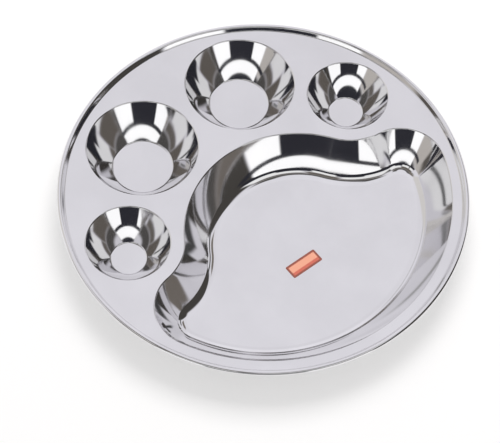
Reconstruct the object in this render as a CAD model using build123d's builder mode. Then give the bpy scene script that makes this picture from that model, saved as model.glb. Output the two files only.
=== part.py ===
from build123d import *
import os
from math import acos, asin, cos, radians, sin, sqrt

# A round compartment thali: one steel sheet pressed into a flat deck with two large bowls, two small
# bowls and a wide main compartment, its edge rolled over a steel wire, and a label on the main floor.
# Millimetres. +Z is up, the floors rest on z = 0, and the plate's middle is at x = y = 0. The bowls lie
# towards +Y, the main compartment towards -Y, and the layout mirrors across the YZ plane.

# Sheet and overall sizes
plate_diameter = 330.0  # across the outside of the rolled rim
sheet = 0.6  # thickness of the steel
depth = 29.0  # deck down to the floors of the main compartment and the large bowls, on the upper face
small_depth = 25.0  # deck down to the floors of the small bowls, on the upper face

# Layout of the compartments, taken where the deck starts to turn down
rim_margin = 12.5  # outside of the rim to the nearest compartment
web = 9.0  # deck left between neighbouring compartments
large_bowl_radius = 46.5
small_bowl_radius = 34.5
ear_radius = 36.0  # rounding of the main compartment's two ears

# Wall sections, on the upper face, with angles of steepness from the horizontal
edge_radius = 1.6  # deck into wall
wall_top_angle = 60.0  # under the edge
wall_foot_angle = 49.0  # above the floor
small_wall_top_angle = 58.5  # the same in the small bowls
small_wall_foot_angle = 46.5
toe_radius = 2.5  # wall into floor

# Wired rim
wire_diameter = 3.0
wire_clearance = 0.15  # between the wire and the sheet rolled over it
rim_bend_radius = 1.5  # deck into the raised lip, on the upper face
lip_angle = 57.0  # steepness of the lip, from the horizontal
lip_length = 2.5  # straight part of the lip between bend and roll
roll_angle = 265.0  # how far the sheet is rolled round the wire

# Label
label_length = 29.0
label_width = 12.0
label_thickness = 0.12
label_corner = 1.2
label_x = -6.0
label_y = -59.5
label_turn = -1.2  # degrees about Z

# Heights and radii that follow
plate_radius = plate_diameter / 2
deck_top = sheet + depth
reach = plate_radius - rim_margin  # no compartment lies outside this radius
roll_radius = wire_diameter / 2 + wire_clearance + sheet
wire_ring_radius = plate_radius - roll_radius
lip_run = lip_length * cos(radians(lip_angle))
lip_rise = lip_length * sin(radians(lip_angle))
turn_radii = rim_bend_radius + roll_radius
wire_height = deck_top + rim_bend_radius + lip_rise - turn_radii * cos(radians(lip_angle))
deck_radius = wire_ring_radius - lip_run - turn_radii * sin(radians(lip_angle))

# Bowl centres: every bowl touches the reach, and neighbours are one web apart
large_ring = reach - large_bowl_radius
small_ring = reach - small_bowl_radius
large_angle = asin((large_bowl_radius + web / 2) / large_ring)
bowl_pitch = large_bowl_radius + web + small_bowl_radius
small_angle = large_angle + acos(
    (large_ring**2 + small_ring**2 - bowl_pitch**2) / (2 * large_ring * small_ring)
)
large_x = large_ring * sin(large_angle)
large_y = large_ring * cos(large_angle)
small_x = small_ring * sin(small_angle)
small_y = small_ring * cos(small_angle)

# The main compartment's back is one arc that keeps a web to all four bowls
large_clear = large_bowl_radius + web
small_clear = small_bowl_radius + web
lean = (large_clear - small_clear) / (large_y - small_y)
middle = (large_ring**2 - small_ring**2 - large_clear**2 + small_clear**2) / (2 * (large_y - small_y))
square_term = lean**2 - 1
linear_term = lean * (large_y - middle) - large_clear
constant_term = large_x**2 + (large_y - middle) ** 2 - large_clear**2
back_radius = (-linear_term - sqrt(linear_term**2 - square_term * constant_term)) / square_term
back_y = middle - lean * back_radius

# Each ear touches the reach and keeps a web to the small bowl beside it
ear_ring = reach - ear_radius
ear_angle = small_angle + acos(
    (ear_ring**2 + small_ring**2 - (small_clear + ear_radius) ** 2) / (2 * ear_ring * small_ring)
)

# Points of the main outline's right half, where its arcs join
small_centre = Vector(small_x, small_y)
back_centre = Vector(0, back_y)
ear_centre = Vector(ear_ring * sin(ear_angle), ear_ring * cos(ear_angle))
notch = back_centre + (small_centre - back_centre).normalized() * back_radius
ear_start = small_centre + (ear_centre - small_centre).normalized() * small_clear
ear_end = ear_centre.normalized() * reach

# Walls by depth, steepness under the edge and steepness above the floor
deep_wall = (depth, wall_top_angle, wall_foot_angle)
shallow_wall = (small_depth, small_wall_top_angle, small_wall_foot_angle)

bowls = [
    (large_x, large_y, large_bowl_radius, deep_wall),
    (-large_x, large_y, large_bowl_radius, deep_wall),
    (small_x, small_y, small_bowl_radius, shallow_wall),
    (-small_x, small_y, small_bowl_radius, shallow_wall),
]


def hollow_radius(wall):
    """Radius of a wall's hollow arc, which falls through the height that its edge and toe leave."""
    wall_depth, top_angle, foot_angle = wall
    top_cosine = cos(radians(top_angle))
    foot_cosine = cos(radians(foot_angle))
    drop = wall_depth - edge_radius * (1 - top_cosine) - toe_radius * (1 - foot_cosine)
    return drop / (foot_cosine - top_cosine)


def inset(wall):
    """How far a wall runs in from its compartment's edge to the floor."""
    top_sine = sin(radians(wall[1]))
    foot_sine = sin(radians(wall[2]))
    return edge_radius * top_sine + hollow_radius(wall) * (top_sine - foot_sine) + toe_radius * foot_sine


def arc_about(centre, start, end):
    """Arc from start to end, under half a circle, about a centre at the same distance from both."""
    radius = (start - centre).length
    halfway = ((start - centre).normalized() + (end - centre).normalized()).normalized()
    return ThreePointArc(tuple(start), tuple(centre + halfway * radius), tuple(end))


def mirrored(point):
    """The same point on the other side of the plate's middle plane."""
    return Vector(-point.X, point.Y)


def main_compartment_edge():
    """Closed outline of the main compartment, anticlockwise from the right-hand notch."""
    arc_about(back_centre, notch, mirrored(notch))
    arc_about(mirrored(small_centre), mirrored(notch), mirrored(ear_start))
    arc_about(mirrored(ear_centre), mirrored(ear_start), mirrored(ear_end))
    arc_about(Vector(0, 0), mirrored(ear_end), ear_end)
    arc_about(ear_centre, ear_end, ear_start)
    arc_about(small_centre, ear_start, notch)


def wall_outline(wall):
    """Outline of the sheet in a wall: x runs in from the compartment's edge, y up from the deck's top."""
    top_angle, foot_angle = wall[1:]
    ends = []
    for under in (0, sheet):
        edge = JernArc((0, -under), (1, 0), edge_radius - under, -top_angle)
        hollow = JernArc(edge @ 1, edge % 1, hollow_radius(wall) + under, top_angle - foot_angle)
        toe = JernArc(hollow @ 1, hollow % 1, toe_radius + under, foot_angle)
        ends.append((edge @ 0, toe @ 1))
    for upper_end, under_end in zip(*ends):
        Line(upper_end, under_end)


def rim_outline():
    """Outline of the sheet in the rim: x is the distance from the plate's axis, y the height."""
    ends = []
    for under in (0, sheet):
        bend = JernArc((deck_radius, deck_top - under), (1, 0), rim_bend_radius + under, lip_angle)
        lip = Line(bend @ 1, bend @ 1 + (bend % 1) * lip_length)
        roll = JernArc(lip @ 1, lip % 1, roll_radius - under, -roll_angle)
        ends.append((bend @ 0, roll @ 1))
    for upper_end, under_end in zip(*ends):
        Line(upper_end, under_end)


with BuildPart() as pressed_plate:
    # Flat deck with an opening for each compartment
    with BuildSketch(Plane.XY.offset(depth)):
        Circle(deck_radius)
        for x, y, radius, wall in bowls:
            with Locations((x, y)):
                Circle(radius, mode=Mode.SUBTRACT)
        with BuildLine():
            main_compartment_edge()
        make_face(mode=Mode.SUBTRACT)
    extrude(amount=sheet)

    # Main compartment's floor
    with BuildSketch():
        with BuildLine():
            main_compartment_edge()
        make_face()
        offset(amount=-inset(deep_wall))
    extrude(amount=sheet)

    # Bowl floors and walls
    for x, y, radius, wall in bowls:
        with BuildSketch(Plane.XY.offset(depth - wall[0])):
            with Locations((x, y)):
                Circle(radius - inset(wall))
        extrude(amount=sheet)
        with BuildSketch(Plane((x + radius, y, deck_top), x_dir=(-1, 0, 0), z_dir=(0, 1, 0))):
            with BuildLine():
                wall_outline(wall)
            make_face()
        revolve(axis=Axis((x, y, 0), (0, 0, 1)))

    # Main compartment's wall
    with BuildLine(Plane.XY.offset(deck_top)) as main_edge:
        main_compartment_edge()
    start = main_edge.wire() @ 0
    along = main_edge.wire() % 0
    with BuildSketch(Plane(start, x_dir=(-along.Y, along.X, 0), z_dir=along)):
        with BuildLine():
            wall_outline(deep_wall)
        make_face()
    sweep(path=main_edge.wire())

    # Rim
    with BuildSketch(Plane.XZ):
        with BuildLine():
            rim_outline()
        make_face()
    revolve(axis=Axis.Z)

with BuildPart() as rim_wire:
    with BuildSketch(Plane.XZ):
        with Locations((wire_ring_radius, wire_height)):
            Circle(wire_diameter / 2)
    revolve(axis=Axis.Z)

with BuildPart() as label:
    with BuildSketch(Plane.XY.offset(sheet)):
        with Locations(Location((label_x, label_y), label_turn)):
            RectangleRounded(label_length, label_width, label_corner)
    extrude(amount=label_thickness)

os.makedirs("parts", exist_ok=True)
pressed_plate.part.label = "pressed_plate"
rim_wire.part.label = "rim_wire"
label.part.label = "label"
export_step(pressed_plate.part, "parts/pressed_plate.step")
export_step(rim_wire.part, "parts/rim_wire.step")
export_step(label.part, "parts/label.step")
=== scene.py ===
# %% [markdown]
# # A compartment thali in polished steel
#
# The object is one round steel sheet, pressed into a deck with four bowls and a wide main compartment,
# with its edge rolled over a wire and a small label on the main floor. The lesson dresses the packed CAD
# part: it works out the sheet's surface afresh with exact normals, because a mirror finish shows every
# facet, and then gives each piece its finish, the studio and the camera. Shapes are in millimetres until
# a mesh is written, which is when they become metres. Finishes are in metres from the start.

import bpy
import numpy as np
from mathutils import Matrix, Vector
from mathutils.geometry import delaunay_2d_cdt


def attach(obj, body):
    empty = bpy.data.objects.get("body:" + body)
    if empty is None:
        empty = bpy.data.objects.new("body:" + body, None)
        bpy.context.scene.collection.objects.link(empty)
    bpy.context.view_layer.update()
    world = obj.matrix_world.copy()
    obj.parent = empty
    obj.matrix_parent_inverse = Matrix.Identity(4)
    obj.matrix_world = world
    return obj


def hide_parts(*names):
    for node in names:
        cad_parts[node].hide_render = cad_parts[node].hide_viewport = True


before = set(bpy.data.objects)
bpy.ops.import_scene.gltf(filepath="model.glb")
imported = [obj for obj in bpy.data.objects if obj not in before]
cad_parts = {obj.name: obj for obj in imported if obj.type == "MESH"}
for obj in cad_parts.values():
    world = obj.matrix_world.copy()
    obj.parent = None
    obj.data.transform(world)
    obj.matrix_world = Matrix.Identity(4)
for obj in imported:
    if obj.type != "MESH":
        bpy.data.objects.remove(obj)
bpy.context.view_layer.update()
MM = 0.001


# %% [markdown]
# ## Where the bowls lie
#
# Seen from above, every bowl touches one circle inside the rim, and neighbours leave one web of deck
# between them, so the centres come from triangles with known sides. Placing the bowls by eye would leave
# webs of uneven width, which a mirror shows at once. The sizes are the ones that the solid was built
# from. They could be measured on the CAD mesh instead, but its facets would blur them.

# %% Bowl centres
PLATE_RADIUS = 165.0  # outside of the rolled rim
RIM_MARGIN = 12.5  # outside of the rim to the nearest compartment
WEB = 9.0  # deck left between neighbours
LARGE_BOWL, SMALL_BOWL, EAR = 46.5, 34.5, 36.0  # radii of the bowls and of the main compartment's ears
REACH = PLATE_RADIUS - RIM_MARGIN


def polar(ring, angle):
    """The point at a distance from the plate's middle, at an angle from +Y towards +X."""
    return np.array([ring * np.sin(angle), ring * np.cos(angle)])


def angle_between(side_a, side_b, far_side):
    """The angle between two sides of a triangle, from its third side by the law of cosines."""
    return np.arccos((side_a**2 + side_b**2 - far_side**2) / (2 * side_a * side_b))


large_ring, small_ring, ear_ring = REACH - LARGE_BOWL, REACH - SMALL_BOWL, REACH - EAR
large_clear, small_clear = LARGE_BOWL + WEB, SMALL_BOWL + WEB
large_angle = np.arcsin((LARGE_BOWL + WEB / 2) / large_ring)
small_angle = large_angle + angle_between(large_ring, small_ring, large_clear + SMALL_BOWL)
ear_angle = small_angle + angle_between(small_ring, ear_ring, small_clear + EAR)
large_bowl, small_bowl = polar(large_ring, large_angle), polar(small_ring, small_angle)
ear_centre = polar(ear_ring, ear_angle)
print("large bowl at", large_bowl.round(1), "and small bowl at", small_bowl.round(1), "mm")

# %% [markdown]
# ## Arcs of the main compartment
#
# The main compartment's back is one arc that keeps a web to all four bowls, and its two ears are rounded.
# A spline through marked points would look alike, but its webs would waver in width, and arcs that touch
# also give exact directions for the wall. A clear circle is a web wider than its bowl. Where the back arc
# touches one, the distance between the centres is the sum of the radii. Two such distances, to a large
# and a small bowl, leave one quadratic in the back arc's radius.

# %% Back arc, notch and ear
def towards(start, end, distance):
    """The point at a distance from start in the direction of end."""
    return start + (end - start) * distance / np.hypot(*(end - start))


rise = large_bowl[1] - small_bowl[1]
lean = (large_clear - small_clear) / rise
middle = (large_ring**2 - small_ring**2 - large_clear**2 + small_clear**2) / (2 * rise)
square_term = lean**2 - 1
half_linear_term = lean * (large_bowl[1] - middle) - large_clear
constant_term = large_bowl[0] ** 2 + (large_bowl[1] - middle) ** 2 - large_clear**2
root = np.sqrt(half_linear_term**2 - square_term * constant_term)
back_radius = (-half_linear_term - root) / square_term
back_centre = np.array([0.0, middle - lean * back_radius])

notch = towards(back_centre, small_bowl, back_radius)
ear_start = towards(small_bowl, ear_centre, small_clear)
ear_end = ear_centre * REACH / ear_ring
print("back arc's radius is", round(back_radius, 1), "mm, and its notch is at", notch.round(1))

# %% [markdown]
# ## Outlines with their inward directions
#
# A compartment's wall is one section carried round its outline, so each outline point needs the
# direction that points into the compartment. On an arc that direction is the one to or from the arc's
# centre, which is exact. Taking it from neighbouring points would work too, but it wavers at the joins.

# %% Circles and arcs
def around(angles):
    """Directions in plan at angles from +X towards +Y: (cos, sin)."""
    return np.stack([np.cos(angles), np.sin(angles)], -1)


def full_turn(count):
    """Angles of points spread evenly round a circle."""
    return np.linspace(0, 2 * np.pi, count, endpoint=False)


def circle_outline(centre, radius, count):
    """Points and inward directions of a circle: centre plus radius times (cos, sin)."""
    out = around(full_turn(count))
    return centre + radius * out, -out


def arc_outline(centre, start, end, step, inside=1):
    """Points and inward directions of the shorter arc from start towards end; the next arc starts at end.

    A point is the centre plus the radius times (cos, sin). The inward direction is towards the centre
    where inside is 1 and away from it where inside is -1.
    """
    first = np.arctan2(*(start - centre)[::-1])
    turn = np.arctan2(*(end - centre)[::-1]) - first
    turn = (turn + np.pi) % (2 * np.pi) - np.pi
    radius = np.hypot(*(start - centre))
    count = int(round(abs(turn) * radius / step))
    out = around(first + turn * np.arange(count) / count)
    return centre + radius * out, -inside * out


print("a circle of four points:", circle_outline(np.zeros(2), 1.0, 4)[0].round(1).tolist())

# %% [markdown]
# ## Edges of the compartments
#
# The four bowls are circles. The main compartment's edge is a ring of arcs that touch: the back, round
# the left small bowl, the left ear, the front, and the same on the right. Tracing both halves would do,
# but the plate is the same on both sides, so the left half is the right one mirrored. The ears get closer
# points, because they curve most sharply.

# %% Compartment edges
LARGE_POINTS, SMALL_POINTS = 128, 112
MAIN_STEP, EAR_STEP = 1.9, 1.14
MIRROR = np.array([-1.0, 1.0])


def main_outline():
    """The main compartment's edge, anticlockwise from the right-hand notch, as arcs end to end.

    The front is two arcs, because each arc takes the shorter way round.
    """
    middle_of_plate, lowest = np.zeros(2), np.array([0.0, -REACH])
    arcs = [
        arc_outline(back_centre, notch, notch * MIRROR, MAIN_STEP),
        arc_outline(small_bowl * MIRROR, notch * MIRROR, ear_start * MIRROR, MAIN_STEP, -1),
        arc_outline(ear_centre * MIRROR, ear_start * MIRROR, ear_end * MIRROR, EAR_STEP),
        arc_outline(middle_of_plate, ear_end * MIRROR, lowest, MAIN_STEP),
        arc_outline(middle_of_plate, lowest, ear_end, MAIN_STEP),
        arc_outline(ear_centre, ear_end, ear_start, EAR_STEP),
        arc_outline(small_bowl, ear_start, notch, MAIN_STEP, -1),
    ]
    return [np.concatenate(parts) for parts in zip(*arcs)]


outlines = [
    circle_outline(large_bowl, LARGE_BOWL, LARGE_POINTS),
    circle_outline(large_bowl * MIRROR, LARGE_BOWL, LARGE_POINTS),
    circle_outline(small_bowl, SMALL_BOWL, SMALL_POINTS),
    circle_outline(small_bowl * MIRROR, SMALL_BOWL, SMALL_POINTS),
    main_outline(),
]
print("outline points:", [len(points) for points, _ in outlines])

# %% [markdown]
# ## Section through a wall
#
# In section a wall turns over the deck's edge, falls in a shallow hollow curve and turns out again at the
# toe. These are three arcs, so a slope angle gives the place and the normal together. A Bevel modifier
# could round a plain cone instead, but not hollow it. The small bowls are shallower and less steep than
# the rest. The main compartment's toe is wider, which draws the dark and pale lines above its floor, and
# it is the one place where this sheet is softer than the solid.

# %% Wall sections
SHEET = 0.6
DEPTH, SMALL_DEPTH = 29.0, 25.0
DECK_TOP = SHEET + DEPTH
EDGE_RADIUS, TOE_RADIUS, MAIN_TOE_RADIUS = 1.6, 2.5, 12.0
WALL_SLOPES = np.radians([60.0, 49.0])  # under the edge and above the toe
SMALL_WALL_SLOPES = np.radians([58.5, 46.5])
EDGE_STEPS, WALL_STEPS, TOE_STEPS = 7, 9, 11


def wall_section(depth, slopes, toe_radius):
    """Run inwards, height over the deck and slope along a wall's upper face: three arcs end to end.

    An arc of radius r from slope a to slope b runs r (sin b - sin a) and falls r (cos a - cos b), where r
    is negative if the slope eases. The hollow's radius follows from the fall that edge and toe leave it.
    """
    top, foot = slopes
    hollow_fall = depth - EDGE_RADIUS * (1 - np.cos(top)) - toe_radius * (1 - np.cos(foot))
    hollow_radius = hollow_fall / (np.cos(foot) - np.cos(top))
    arcs = (
        (EDGE_RADIUS, 0.0, top, EDGE_STEPS),
        (-hollow_radius, top, foot, WALL_STEPS),
        (-toe_radius, foot, 0.0, TOE_STEPS),
    )
    run, fall, slope = np.zeros(1), np.zeros(1), np.zeros(1)
    for radius, start, end, steps in arcs:
        turn = np.linspace(start, end, steps + 1)[1:]
        run = np.append(run, run[-1] + radius * (np.sin(turn) - np.sin(start)))
        fall = np.append(fall, fall[-1] + radius * (np.cos(start) - np.cos(turn)))
        slope = np.append(slope, turn)
    return run, -fall, slope


deep = wall_section(DEPTH, WALL_SLOPES, TOE_RADIUS)
shallow = wall_section(SMALL_DEPTH, SMALL_WALL_SLOPES, TOE_RADIUS)
main = wall_section(DEPTH, WALL_SLOPES, MAIN_TOE_RADIUS)
sections = [deep, deep, shallow, shallow, main]
print("walls run in", [round(float(run[-1]), 2) for run, _, _ in (deep, shallow, main)], "mm")

# %% [markdown]
# ## Section through the rim
#
# At the rim the sheet bends up from the deck into a short sloped lip and rolls outwards over the wire,
# which stiffens a wide thin plate and hides its cut edge. A torus on the deck's edge would look alike
# from above, but the roll is open underneath, so the section follows the sheet to its free end.

# %% Rim section
WIRE_RADIUS, WIRE_CLEARANCE = 1.5, 0.15
ROLL_RADIUS = WIRE_RADIUS + WIRE_CLEARANCE + SHEET
RIM_BEND, LIP_LENGTH = 1.5, 2.5
LIP_ANGLE, ROLL_ANGLE = np.radians([57.0, 265.0])
ROLL_END = np.pi / 2 + LIP_ANGLE - ROLL_ANGLE
BEND_POINTS, ROLL_POINTS = 9, 27

lip_run, lip_rise = LIP_LENGTH * np.cos(LIP_ANGLE), LIP_LENGTH * np.sin(LIP_ANGLE)
turn_radii = RIM_BEND + ROLL_RADIUS
roll_height = DECK_TOP + RIM_BEND + lip_rise - turn_radii * np.cos(LIP_ANGLE)
roll_centre = np.array([PLATE_RADIUS - ROLL_RADIUS, roll_height])
deck_radius = roll_centre[0] - turn_radii * np.sin(LIP_ANGLE) - lip_run


def rim_section():
    """Places as (radius, height) along the rim's upper face, and their normals.

    The bend is an arc about a point over the deck's edge and the roll is one about the wire. The straight
    lip lies between the bend's last point and the roll's first.
    """
    bend = np.linspace(0, LIP_ANGLE, BEND_POINTS)
    bend_normals = np.stack([-np.sin(bend), np.cos(bend)], -1)
    bend_points = np.array([deck_radius, DECK_TOP + RIM_BEND]) - RIM_BEND * bend_normals
    roll_normals = around(np.linspace(ROLL_END + ROLL_ANGLE, ROLL_END, ROLL_POINTS))
    roll_points = roll_centre + ROLL_RADIUS * roll_normals
    return np.concatenate([bend_points, roll_points]), np.concatenate([bend_normals, roll_normals])


print("deck at", DECK_TOP, "mm, deck radius", round(deck_radius, 2), "mm")

# %% [markdown]
# ## Walls and rim
#
# A wall is its section carried round an outline, and the rim is its section turned round the plate's
# axis. Each is a grid of points with a normal for every point. The Screw modifier could turn the bowls
# and the rim, but not the main compartment, and it would lose the exact normals.

# %% Walls and rim as grids
RIM_COUNT = 320


def carried_wall(outline, section):
    """Wall surface: outline point plus run times the inward direction, lifted to the section's height."""
    points, inward = outline
    run, height, slope = section
    plan = points[:, None, :] + run[None, :, None] * inward[:, None, :]
    side = np.sin(slope)[None, :, None] * inward[:, None, :]
    level = np.broadcast_to(DECK_TOP + height, plan.shape[:2])
    up = np.broadcast_to(np.cos(slope), plan.shape[:2])
    return np.dstack([plan, level]), np.dstack([side, up])


def turned(section):
    """Section turned round the axis: its radius times (cos, sin) of the turn, at its height."""
    plan = around(full_turn(RIM_COUNT))[:, None, :] * section[None, :, :1]
    return np.dstack([plan, np.broadcast_to(section[:, 1], plan.shape[:2])])


walls = [carried_wall(outline, section) for outline, section in zip(outlines, sections)]
rim_points, rim_normals = (turned(values) for values in rim_section())
print("wall grids:", [points.shape[:2] for points, _ in walls], "rim grid:", rim_points.shape[:2])

# %% [markdown]
# ## Deck and floors
#
# The deck and the five floors are flat. Each is filled between the loops that the walls and the rim
# already have, so that nothing gapes. A Boolean could cut the openings out of a disc, but it would add
# points that the walls don't share. The triangulation covers the openings too, and counting how often a
# line from a triangle's middle crosses the loops tells which triangles belong to the sheet.

# %% Flat fill
SAME_PLACE = 1e-7  # millimetres within which the triangulation takes two points for one


def inside_loops(spots, starts, ends):
    """Whether a line from each spot towards +X crosses an odd number of the edges from starts to ends."""
    x, y = spots[:, None, 0], spots[:, None, 1]
    spans = (starts[:, 1] > y) != (ends[:, 1] > y)
    edge_rise = np.where(spans, ends[:, 1] - starts[:, 1], 1.0)
    crossing = starts[:, 0] + (y - starts[:, 1]) * (ends[:, 0] - starts[:, 0]) / edge_rise
    return (spans & (x < crossing)).sum(1) % 2 == 1


def flat_fill(loops, level):
    """Points and triangles between closed loops on one level: those whose middle is inside the loops."""
    starts = np.concatenate(loops)
    numbers = np.arange(len(starts))
    breaks = np.cumsum([len(loop) for loop in loops])[:-1]
    following = np.concatenate([np.roll(ring, -1) for ring in np.split(numbers, breaks)])
    edges = np.stack([numbers, following], 1)
    made = delaunay_2d_cdt(starts.tolist(), edges.tolist(), [], 0, SAME_PLACE)
    points = starts[np.concatenate(made[3])]
    triangles = np.array(made[2])
    kept = inside_loops(points[triangles].mean(1), starts, starts[following])
    return np.column_stack([points, np.full(len(points), level)]), triangles[kept]


floors = [flat_fill([points[:, -1, :2]], points[0, -1, 2]) for points, _ in walls]
edge_loops = [points[:, 0, :2] for points, _ in walls] + [rim_points[:, 0, :2]]
deck = flat_fill(edge_loops, DECK_TOP)
print("triangles of the floors:", [len(floor[1]) for floor in floors], "and of the deck:", len(deck[1]))

# %% [markdown]
# ## Upper face
#
# The grids and the flat fills become one face: they are numbered one after another, and points in the
# same place are welded, as Merge by Distance would do. Doing it on the arrays keeps track of the normals
# and of which points lie on the roll's free edge.

# %% Patches of the upper face
def grid_quads(along, across):
    """Quads between the points of a closed ring of sections, numbered section by section."""
    i, j = np.meshgrid(np.arange(along), np.arange(across - 1), indexing="ij")
    after = (i + 1) % along
    corners = [i * across + j, i * across + j + 1, after * across + j + 1, after * across + j]
    return np.stack(corners, -1).reshape(-1, 4)


def halved(quads):
    """Two triangles for each quad, cut from its first corner to its third."""
    return np.concatenate([quads[:, [0, 1, 2]], quads[:, [0, 2, 3]]])


def grid_patch(points, normals, quads):
    """A grid as a patch: lists of points and normals, and triangles."""
    return points.reshape(-1, 3), normals.reshape(-1, 3), halved(quads)


def flat_patch(points, triangles):
    """A flat fill as a patch: its normals point straight up."""
    return points, np.tile([0.0, 0.0, 1.0], (len(points), 1)), triangles


# A wall's section runs inwards and the rim's outwards, so the walls' quads go round the other way.
patches = [
    grid_patch(points, normals, grid_quads(*points.shape[:2])[:, ::-1]) for points, normals in walls
]
patches.append(grid_patch(rim_points, rim_normals, grid_quads(*rim_points.shape[:2])))
patches += [flat_patch(*fill) for fill in (*floors, deck)]
print("patches:", len(patches), "with", sum(len(faces) for _, _, faces in patches), "triangles")

# %% Weld the patches
WELD = 1e-4  # millimetres


def facing(faces, points, outward):
    """The same triangles, each turned so that its winding agrees with its outward direction."""
    a, b, c = (points[faces[:, corner]] for corner in range(3))
    wrong = (np.cross(b - a, c - a) * outward).sum(1) < 0
    return np.where(wrong[:, None], faces[:, ::-1], faces)


firsts = np.cumsum([0] + [len(points) for points, _, _ in patches])
points, normals = (np.concatenate([patch[part] for patch in patches]) for part in range(2))
places = np.round(points / WELD)
_, first_use, joined = np.unique(places, axis=0, return_index=True, return_inverse=True)
joined = joined.ravel()
upper = np.concatenate([joined[patch[2] + first] for patch, first in zip(patches, firsts)])
points, normals = points[first_use], normals[first_use]
upper = facing(upper, points, normals[upper].sum(1))
print("welded", len(joined), "points into", len(points))

# %% [markdown]
# ## Under face and free edge
#
# The under face is the upper one moved by the sheet's thickness against its normals, which is exact for a
# sheet, and a narrow strip closes the free edge where the roll ends. A Solidify modifier could add the
# thickness, but it would lose the exact normals.

# %% Under face and strip
count = len(points)
sheet_points = np.concatenate([points, points - SHEET * normals])
sheet_normals = np.concatenate([normals, -normals])
both_faces = np.concatenate([upper, upper[:, ::-1] + count])

rim_numbers = joined[firsts[len(walls)] : firsts[len(walls) + 1]].reshape(RIM_COUNT, -1)
end_ring = rim_numbers[:, -1]
next_ring = np.roll(end_ring, -1)
strip = halved(np.stack([end_ring, next_ring, next_ring + count, end_ring + count], 1))
strip_middle = sheet_points[strip].mean(1)[:, :2]
strip_out = strip_middle / np.linalg.norm(strip_middle, axis=1, keepdims=True)
strip_up = np.full(len(strip), -np.cos(ROLL_END))
strip_normals = np.column_stack([strip_out * np.sin(ROLL_END), strip_up])
strip = facing(strip, sheet_points, strip_normals)
print("sheet:", len(sheet_points), "points,", len(both_faces) + len(strip), "triangles")

# %% [markdown]
# ## The pressed sheet
#
# The arrays go into Blender in one call each. Smooth shading would guess the normals from the facets, so
# each corner gets the one that the formulas give, and the strip at the roll's end keeps its own flat one.
# The finished sheet stands in for the solid's pressed plate.

# %% Sheet
def mesh_piece(name, points, faces, corner_normals=None):
    """A new object at the origin from points in millimetres, faces and, if given, each corner's normal."""
    mesh = bpy.data.meshes.new(name)
    mesh.from_pydata((points * MM).tolist(), [], faces)
    mesh.shade_smooth()
    if corner_normals is not None:
        mesh.normals_split_custom_set(corner_normals.reshape(-1, 3).tolist())
    mesh.update()
    piece = bpy.data.objects.new(name, mesh)
    bpy.context.scene.collection.objects.link(piece)
    return piece


sheet_faces = np.concatenate([both_faces, strip])
strip_corners = np.repeat(strip_normals[:, None], 3, axis=1)
corner_normals = np.concatenate([sheet_normals[both_faces], strip_corners])
thali_sheet = mesh_piece("thali_sheet", sheet_points, sheet_faces.tolist(), corner_normals)
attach(thali_sheet, "root")
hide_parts("pressed_plate")
print("sheet box in mm:", sheet_points.min(0).round(2), sheet_points.max(0).round(2))

# %% [markdown]
# ## Shader maths as Python
#
# Finishes are easier to read as formulas than as a list of nodes. One small class wraps a socket, so that
# a + b or 1 - mask adds the Math node for it, and one method adds every other kind of node.

# %% Socket wrapper
class Tone:
    """One value of a finish: a wrapped output socket that Python's operators work on."""

    def __init__(self, socket):
        self.socket = socket

    @staticmethod
    def node(tree, kind, settings=None, inputs=None, output=0):
        """Adds a node, sets its settings and then its sockets' values or links, and wraps one output."""
        made = tree.nodes.new(kind)
        for name, value in (settings or {}).items():
            setattr(made, name, value)
        for name, value in (inputs or {}).items():
            give(made.inputs[name], value)
        return Tone(made.outputs[output])

    def other(self, output):
        """Another output of the same node."""
        return Tone(self.socket.node.outputs[output])

    def math(self, operation, *others, first=None):
        """A Math node on this value and others; first puts another value ahead of this one."""
        values = [value for value in (first, self, *others) if value is not None]
        settings = {"operation": operation}
        return Tone.node(self.socket.id_data, "ShaderNodeMath", settings, dict(enumerate(values)))

    def __add__(self, other):
        return self.math("ADD", other)

    __radd__ = __add__

    def __mul__(self, other):
        return self.math("MULTIPLY", other)

    __rmul__ = __mul__

    def __sub__(self, other):
        return self.math("SUBTRACT", other)

    def __rsub__(self, other):
        return self.math("SUBTRACT", first=other)

    def __truediv__(self, other):
        return self.math("DIVIDE", other)

    def __rtruediv__(self, other):
        return self.math("DIVIDE", first=other)

    def fade(self, low, high):
        """0 below low, 1 above high and a smooth step between, by a Map Range node."""
        settings = {"interpolation_type": "SMOOTHSTEP"}
        inputs = {"Value": self, "From Min": low, "From Max": high}
        return Tone.node(self.socket.id_data, "ShaderNodeMapRange", settings, inputs)

    def mix(self, low, high):
        """The colour low where this value is 0 and high where it is 1: a Mix node's inputs 6 and 7."""
        inputs = {0: self, 6: low, 7: high}
        return Tone.node(self.socket.id_data, "ShaderNodeMix", {"data_type": "RGBA"}, inputs, 2)


def give(socket, value):
    """Links a wrapped value to a socket, or sets the socket to a plain one."""
    if isinstance(value, Tone):
        socket.id_data.links.new(value.socket, socket)
    else:
        socket.default_value = value


print("a finish's value has", [name for name in vars(Tone) if not name.startswith("_")])

# %% [markdown]
# ## Helpers for the finishes
#
# Every finish starts from a new material with Blender's Principled shader. Its patterns read the piece's
# own Object coordinates, in metres, so that they stay on the piece wherever it goes. For one finish the
# nodes could be added one by one, but the same few come up in each, so they get a function.

# %% Finish helpers
def new_finish(name):
    """A new material, its node tree and its Principled shader."""
    material = bpy.data.materials.new(name)
    material.use_nodes = True
    return material, material.node_tree, material.node_tree.nodes["Principled BSDF"]


def object_place(tree):
    """The place on the piece, in its Object coordinates."""
    return Tone.node(tree, "ShaderNodeTexCoord", output="Object")


def noise(place, scale, detail):
    """A cloudy pattern between 0 and 1, with about as many clouds to a metre as its scale says."""
    inputs = {"Vector": place, "Scale": scale, "Detail": detail}
    return Tone.node(place.socket.id_data, "ShaderNodeTexNoise", None, inputs)


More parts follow.
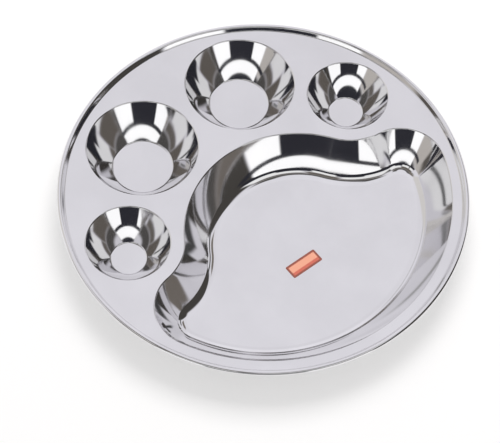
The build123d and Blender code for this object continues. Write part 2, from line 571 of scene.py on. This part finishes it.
def bumped(height, distance, strength=1.0):
    """A normal tilted as if a height from 0 to 1 stood up by a distance in metres."""
    inputs = {"Strength": strength, "Distance": distance, "Height": height}
    return Tone.node(height.socket.id_data, "ShaderNodeBump", None, inputs)


def feed(shader, **inputs):
    """Gives a shader's sockets their values or links; names have _ for a space."""
    for name, value in inputs.items():
        give(shader.inputs[name.replace("_", " ")], value)


print("finish helpers ready, materials so far:", len(bpy.data.materials))

# %% [markdown]
# ## Polished steel
#
# The sheet is buffed to a mirror. A mirror still has a life of its own: buffing leaves faint lines in one
# direction, washing leaves a haze that comes and goes, and the pressing leaves the deck very slightly
# wavy, which is what bends the reflections. All three are small. A plain metal with one roughness would
# be simpler, but its reflections would be too clean for a pressed sheet.

# %% Steel finish
HAZE_SCALE, WAVE_SCALE = 22.0, 14.0
LINE_SCALE, LINE_TURN = (60.0, 2600.0, 60.0), (0.0, 0.0, 0.6)
WAVE_SHARE, LINE_SHARE, RELIEF = 0.9, 0.01, 0.00012
CLEAN_ROUGHNESS, HAZE_ROUGHNESS, LINE_ROUGHNESS = 0.045, 0.03, 0.02
STEEL, BRIGHT_STEEL = (0.77, 0.765, 0.775, 1.0), (0.81, 0.805, 0.815, 1.0)

polished_steel, tree, shader = new_finish("polished_steel")
place = object_place(tree)
haze = noise(place, HAZE_SCALE, detail=5.0)
waves = noise(place, WAVE_SCALE, detail=1.0)
line_inputs = {"Vector": place, "Rotation": LINE_TURN, "Scale": LINE_SCALE}
lines = noise(Tone.node(tree, "ShaderNodeMapping", None, line_inputs), scale=1.0, detail=3.0)
hazy, lined = haze.fade(0.4, 0.75), lines.fade(0.5, 0.8)
feed(
    shader,
    Metallic=1.0,
    Base_Color=haze.fade(0.3, 0.7).mix(STEEL, BRIGHT_STEEL),
    Roughness=CLEAN_ROUGHNESS + hazy * HAZE_ROUGHNESS + lined * LINE_ROUGHNESS,
    Normal=bumped(waves * WAVE_SHARE + lines * LINE_SHARE, RELIEF),
)
thali_sheet.data.materials.append(polished_steel)
print("steel finish has", len(tree.nodes), "nodes")

# %% [markdown]
# ## Wire in the rim
#
# The wire is drawn steel, duller than the sheet, and shows only in the slit under the roll. Its CAD mesh
# is a plain ring, which is right as it is. A torus could replace it, but nothing would be gained, so it
# keeps its mesh and gets a finish with the grain that drawing leaves.

# %% Wire finish
GRAIN_SCALE = 900.0
WIRE_ROUGHNESS, GRAIN_ROUGHNESS = 0.32, 0.15
DARK_WIRE, PALE_WIRE = (0.50, 0.50, 0.51, 1.0), (0.64, 0.64, 0.65, 1.0)

wire_steel, tree, shader = new_finish("wire_steel")
grain = noise(object_place(tree), GRAIN_SCALE, detail=3.0)
feed(
    shader,
    Metallic=1.0,
    Base_Color=grain.mix(DARK_WIRE, PALE_WIRE),
    Roughness=WIRE_ROUGHNESS + grain * GRAIN_ROUGHNESS,
)
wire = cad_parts["rim_wire"]
wire.data.materials.clear()
wire.data.materials.append(wire_steel)

# %% [markdown]
# ## Label
#
# A small adhesive label lies on the main floor: a thin film with rounded corners. A box with a bevel
# would do, but here its outline is carried as rings that shrink towards the middle, so that one grid
# gives the back, the soft edge and the flat top. A UV map in metres on the label's face tells the finish
# where its sides are. The label is kept out of the mirror's reflections, because the photo shows none of
# its colour in the walls.

# %% Label rings
LABEL_LENGTH, LABEL_WIDTH, LABEL_THICKNESS, LABEL_CORNER = 29.0, 12.0, 0.12, 1.2
LABEL_PLACE, LABEL_TURN = np.array([-6.0, -59.5]), np.radians(-1.2)
CORNER_POINTS = 7
RING_SHARES = np.array([0.02, 0.5, 1.0, 1.0, 0.997, 0.98, 0.75, 0.5, 0.25, 0.02])
RING_HEIGHTS = np.array([0.0, 0.0, 0.0, 0.7, 0.93, 1.0, 1.0, 1.0, 1.0, 1.0])


def rounded_outline():
    """Outline of a rectangle with round corners: a quarter circle about each corner's centre."""
    signs = np.array([[1, 1], [-1, 1], [-1, -1], [1, -1]])
    centres = signs * (np.array([LABEL_LENGTH, LABEL_WIDTH]) / 2 - LABEL_CORNER)
    turn = np.linspace(0, np.pi / 2, CORNER_POINTS) + np.arange(4)[:, None] * np.pi / 2
    return (centres[:, None, :] + LABEL_CORNER * around(turn)).reshape(-1, 2)


def label_rings():
    """Flat places and points of rings from the back's middle round the edge to the top's middle.

    A ring is the outline times its share, at its share of the thickness, turned and moved to its place.
    """
    flat = rounded_outline()[:, None, :] * RING_SHARES[None, :, None]
    axes = around(np.array([LABEL_TURN, LABEL_TURN + np.pi / 2]))
    level = np.broadcast_to(SHEET + LABEL_THICKNESS * RING_HEIGHTS, flat.shape[:2])
    return flat, np.dstack([flat @ axes + LABEL_PLACE, level])


film_flat, film_points = label_rings()
print("label box in mm:", film_points.min((0, 1)).round(2), film_points.max((0, 1)).round(2))

# %% Label film
film_numbers = np.arange(film_flat[..., 0].size).reshape(film_flat.shape[:2])
film_caps = [film_numbers[::-1, 0].tolist(), film_numbers[:, -1].tolist()]
film_faces = grid_quads(*film_numbers.shape)[:, ::-1].tolist() + film_caps
label_piece = mesh_piece("label_film", film_points.reshape(-1, 3), film_faces)
label_piece.visible_glossy = False
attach(label_piece, "root")
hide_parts("label")

label_uv = label_piece.data.uv_layers.new(name="label_face")
corner_points = np.zeros(len(label_piece.data.loops), np.int32)
label_piece.data.loops.foreach_get("vertex_index", corner_points)
corner_places = film_flat.reshape(-1, 2)[corner_points] * MM
label_uv.data.foreach_set("uv", corner_places.astype(np.float32).ravel())
print("label film has", len(film_faces), "faces")

# %% [markdown]
# ## Print on the label
#
# The film is orange-red with a dark border and a plain pale band. An image could hold the print, but the
# distance from the label's sides gives the border as a formula, which stays sharp from near. Specks vary
# the ink, and slight creases keep the film from looking like a tile.

# %% Label finish
BORDER_START, BORDER_END = 0.0014, 0.0022
BAND_MIDDLE, BAND_START, BAND_END = 0.0012, 0.0024, 0.0034
SPECK_SCALE, CREASE_SCALE, CREASE_DEPTH = 700.0, 160.0, 0.0001
FILM_ROUGHNESS, SPECK_ROUGHNESS = 0.32, 0.15
DARK_INK, PALE_INK = (0.52, 0.11, 0.08, 1.0), (0.64, 0.16, 0.10, 1.0)
BAND_INK, BORDER_INK = (0.80, 0.36, 0.24, 1.0), (0.27, 0.075, 0.05, 1.0)

label_film, tree, shader = new_finish("label_film")
face = Tone.node(tree, "ShaderNodeUVMap", {"uv_map": "label_face"})
across = Tone.node(tree, "ShaderNodeSeparateXYZ", None, {0: face}, "X")
up = across.other("Y")
from_ends = LABEL_LENGTH / 2 * MM - across.math("ABSOLUTE")
from_sides = LABEL_WIDTH / 2 * MM - up.math("ABSOLUTE")
border = 1 - from_ends.math("MINIMUM", from_sides).fade(BORDER_START, BORDER_END)
band = 1 - (up - BAND_MIDDLE).math("ABSOLUTE").fade(BAND_START, BAND_END)
place = object_place(tree)
speck = noise(place, SPECK_SCALE, detail=4.0)
creases = noise(place, CREASE_SCALE, detail=3.0)
ink = band.mix(speck.mix(DARK_INK, PALE_INK), BAND_INK)
feed(
    shader,
    Base_Color=border.mix(ink, BORDER_INK),
    Roughness=FILM_ROUGHNESS + speck * SPECK_ROUGHNESS,
    Normal=bumped(creases, CREASE_DEPTH, strength=0.3),
)
label_piece.data.materials.append(label_film)
print("label finish has", len(tree.nodes), "nodes")

# %% [markdown]
# ## Floor
#
# The plate stands on a plain white table. A brighter lamp would whiten it, but it would burn out the
# steel as well. So part of the white that the camera and the mirror see is the table's own glow, and the
# plate's soft shadow still falls on the rest. The table lies a hair lower than the plate's underside.

# %% Floor
FLOOR_HALF, FLOOR_DROP = 4000.0, 0.02
FLOOR_GLOW = 0.45

corners = np.array([[-1, -1, 0], [1, -1, 0], [1, 1, 0], [-1, 1, 0]]) * FLOOR_HALF
floor = mesh_piece("table_top", corners - [0, 0, FLOOR_DROP], [[0, 1, 2], [0, 2, 3]])
table_white, tree, shader = new_finish("table_white")
feed(shader, Base_Color=(0.92, 0.905, 0.9, 1.0), Roughness=0.8)
rays = Tone.node(tree, "ShaderNodeLightPath", output="Is Camera Ray")
seen = rays.math("MAXIMUM", rays.other("Is Glossy Ray"))
seen = seen.math("MAXIMUM", rays.other("Is Transmission Ray"))
glow = Tone.node(tree, "ShaderNodeEmission", None, {"Color": (1.0, 1.0, 1.0, 1.0), "Strength": 1.0})
surface_inputs = {0: seen * FLOOR_GLOW, 1: Tone(shader.outputs[0]), 2: glow}
surface = Tone.node(tree, "ShaderNodeMixShader", None, surface_inputs)
give(tree.nodes["Material Output"].inputs["Surface"], surface)
floor.data.materials.append(table_white)
print("floor is", 2 * FLOOR_HALF * MM, "m across")

# %% [markdown]
# ## Camera
#
# The camera looks down at the plate with a long lens, from the side where the main compartment is nearest
# at lower right. It could be placed by hand, but the angles and the plate's place in the picture say it
# in a few numbers: the view is worked out first, and then tilted until the plate's middle lies there, so
# no shift of the lens is needed.

# %% Camera directions
AZIMUTH, ELEVATION, ROLL = np.radians([-43.4, 58.0, 4.5])
FOCAL_PX, DISTANCE = 1800.0, 1441.0
PLATE_PX, IMAGE_PX = np.array([263.9, 191.0]), np.array([500.0, 443.0])
UP = np.array([0.0, 0.0, 1.0])


def unit(direction):
    """The same direction with a length of 1."""
    return direction / np.linalg.norm(direction)


front = np.array([np.sin(AZIMUTH), -np.cos(AZIMUTH), 0.0])
right = np.array([np.cos(AZIMUTH), np.sin(AZIMUTH), 0.0])
view = front * np.cos(ELEVATION) + UP * np.sin(ELEVATION)
lift = np.cross(view, right)
lens_right = right * np.cos(ROLL) + lift * np.sin(ROLL)
lens_up = lift * np.cos(ROLL) - right * np.sin(ROLL)
off_centre = (PLATE_PX - IMAGE_PX / 2) / FOCAL_PX
lens_back = unit(view + off_centre[0] * lens_right - off_centre[1] * lens_up)
lens_right = unit(lens_right - lens_back * (lens_right @ lens_back))
lens_axes = np.stack([lens_right, np.cross(lens_back, lens_right), lens_back], 1)
print("camera looks along", -lens_back.round(3))

# %% Camera
SENSOR_WIDTH = 36.0

camera_place = (UP * DECK_TOP + view * DISTANCE) * MM
camera = bpy.data.objects.new("camera", bpy.data.cameras.new("camera"))
camera_turn = Matrix(lens_axes.tolist()).to_quaternion()
camera.matrix_world = Matrix.LocRotScale(Vector(camera_place), camera_turn, None)
camera.data.sensor_width = SENSOR_WIDTH
camera.data.lens = FOCAL_PX / IMAGE_PX[0] * SENSOR_WIDTH
bpy.context.scene.collection.objects.link(camera)
bpy.context.scene.camera = camera
print("camera at", camera_place.round(3), "with a lens of", round(camera.data.lens, 1), "mm")

# %% [markdown]
# ## Studio
#
# Polished steel has hardly any colour of its own: it shows the room. Panels and walls could be modelled
# round the plate, but they would get in the way of other views. So the room is painted into the world by
# direction: a turn, in degrees from the camera's side towards its right, and a climb above the table.

# %% Directions in the room
DEGREE = np.pi / 180

world = bpy.data.worlds.new("studio")
bpy.context.scene.world = world
world.use_nodes = True
tree = world.node_tree
way = Tone.node(tree, "ShaderNodeTexCoord", output="Generated")


def along(direction):
    """How far the way that is looked points along a direction: their dot product."""
    inputs = {0: way, 1: tuple(float(value) for value in direction)}
    return Tone.node(tree, "ShaderNodeVectorMath", {"operation": "DOT_PRODUCT"}, inputs, "Value")


turn = along(right).math("ARCTAN2", along(front)) / DEGREE
climb = along(UP).math("ARCSINE") / DEGREE
print("room's directions take", len(tree.nodes), "nodes")

# %% [markdown]
# ## What the steel shows
#
# A bright ceiling gives the deck and the floors their even tone. The walls look lower: the back of each
# bowl shows the white panel with its dark gap in front of the plate and the dark ceiling over it, and the
# sides show the darker, warmer walls. A studio photo would do as a ready-made surround, but only painted
# panels can be put where each wall looks.

# %% Panel helpers
def grey(level, warm=0.0):
    """A neutral colour of that strength; warm tips it from blue towards red."""
    return (level * (1 + warm), level, level * (1 - warm), 1.0)


def panel(turns, climbs, soft_turn, soft_climb):
    """1 inside a range of turn and of climb in degrees, falling to 0 over the soft widths at its sides."""
    sides = turn.fade(turns[0] - soft_turn, turns[0] + soft_turn)
    sides = sides * (1 - turn.fade(turns[1] - soft_turn, turns[1] + soft_turn))
    foot = climb.fade(climbs[0] - soft_climb, climbs[0] + soft_climb)
    return sides * foot * (1 - climb.fade(climbs[1] - soft_climb, climbs[1] + soft_climb))


print("a warm grey of 0.5:", grey(0.5, 0.06))

# %% Panels of the room
white, dark, lilac = grey(1.25), (0.03, 0.03, 0.038, 1.0), (0.94, 0.927, 0.98, 1.0)
brown, beige = grey(0.19, 0.12), grey(0.5, 0.06)
LOW_CEILING, HIGH_CEILING = (0.825, 0.813, 0.86, 1.0), (0.875, 0.865, 0.915, 1.0)
CEILING_CLIMBS = (53, 66)

# Name, range of turn, range of climb, softness in turn and in climb, colour. A later panel covers an
# earlier one.
ROOM = (
    ("dark curtain on the right", (53, 118), (-15, 60), 2.0, 5.0, grey(0.06, 0.08)),
    ("dark beam overhead", (-110, 110), (69, 79), 6.0, 2.0, grey(0.1, 0.05)),
    ("brown wall overhead, far left", (-112, -68), (56, 70), 6.0, 3.0, brown),
    ("brown wall overhead, left", (-72, 2), (51.5, 69), 6.0, 2.0, grey(0.14, 0.12)),
    ("brown wall overhead, right", (2, 84), (62, 69), 6.0, 2.0, grey(0.16, 0.1)),
    ("beige wall beside, left", (-128, -100), (-15, 56), 4.0, 3.0, grey(0.72, 0.03)),
    ("pale strip overhead, left", (-62, -2), (36, 51), 4.0, 1.5, grey(1.0)),
    ("pale strip overhead, right", (6, 72), (40, 61), 4.0, 1.5, grey(1.0)),
    ("dark ceiling in front, left of the middle", (-24, -3), (20, 38), 2.0, 1.5, dark),
    ("dark ceiling in front", (-5, 34), (20, 47.5), 2.0, 1.5, dark),
    ("dark ceiling in front, right", (30, 68), (20, 42), 3.0, 1.5, dark),
    ("dark ceiling in front, left", (-66, -20), (20, 36), 3.0, 1.5, dark),
    ("dark post on the left", (-46, -40), (30, 50), 1.5, 1.5, grey(0.12)),
    ("rail on the far left", (-100, -78), (50.5, 55), 4.0, 1.0, grey(0.3)),
    ("rail behind on the left", (-166, -128), (27, 30), 4.0, 0.8, grey(0.45)),
    ("beige wall on the left", (-95, -40), (-15, 20), 3.0, 3.0, beige),
    ("brown post on the left", (-90, -71), (-15, 12), 4.0, 3.0, grey(0.1, 0.1)),
    ("white panel", (-40, 52), (-15, 24.3), 1.5, 0.5, white),
    ("dark gap in the panel", (-19, 24), (-15, 16), 1.2, 0.3, dark),
    ("line over the gap", (-60, 70), (14.8, 17.2), 2.0, 0.3, dark),
    ("pale wall behind, left of the middle", (-200, -158), (2, 36), 5.0, 5.0, lilac),
    ("pale wall behind, right of the middle", (158, 200), (2, 36), 5.0, 5.0, lilac),
    ("shelf behind on the right", (113, 135), (18, 26), 4.0, 2.0, grey(0.08)),
    ("brown wall behind on the right", (126, 152), (34, 46), 3.0, 1.5, brown),
)
room = climb.fade(*CEILING_CLIMBS).mix(LOW_CEILING, HIGH_CEILING)
for _, turns, climbs, soft_turn, soft_climb, colour in ROOM:
    room = panel(turns, climbs, soft_turn, soft_climb).mix(room, colour)
print("room has", len(ROOM), "panels and", len(tree.nodes), "nodes")

# %% [markdown]
# ## Background and daylight
#
# The mirror alone sees the panels. The camera sees plain white past the table, and surfaces that scatter
# light get an even grey daylight, because panels would tint the table. A scene has only one world, but
# the Light Path node tells it which kind of ray is asking.

# %% Background and daylight
DAYLIGHT = 0.64

rays = Tone.node(tree, "ShaderNodeLightPath", output="Is Diffuse Ray")
room = rays.mix(room, grey(DAYLIGHT))
room = rays.other("Is Camera Ray").mix(room, grey(1.0))
give(tree.nodes["Background"].inputs["Color"], room)
bpy.context.scene.view_settings.view_transform = "Standard"
print("world has", len(tree.nodes), "nodes")

# %% [markdown]
# ## Lamp
#
# Daylight from all sides leaves hardly any shadow. One soft square lamp, over the plate and a little
# behind it, throws the wide pale shadow on the near side. A sun would give it a hard edge. The lamp is
# kept out of reflections, because the painted room already has all that the steel shows.

# %% Lamp
LAMP_SIZE, LAMP_POWER, LAMP_DISTANCE = 0.9, 17.0, 1.6
LAMP_RIGHT, LAMP_BEHIND, LAMP_UP = 0.05, 0.5, 1.1

lamp = bpy.data.objects.new("softbox", bpy.data.lights.new("softbox", "AREA"))
lamp.data.shape = "RECTANGLE"
lamp.data.size, lamp.data.size_y = LAMP_SIZE, LAMP_SIZE
lamp.data.energy = LAMP_POWER
lamp.visible_glossy = False
aim = unit(right * LAMP_RIGHT - front * LAMP_BEHIND + UP * LAMP_UP)
lamp.location = Vector(aim * LAMP_DISTANCE)
lamp.rotation_mode = "QUATERNION"
lamp.rotation_quaternion = Vector(aim).to_track_quat("Z", "Y")
bpy.context.scene.collection.objects.link(lamp)
print("lamp at", [round(value, 2) for value in lamp.location], "m")

# %% [markdown] ## Size of the plate The dressed plate has to be as large as the solid.
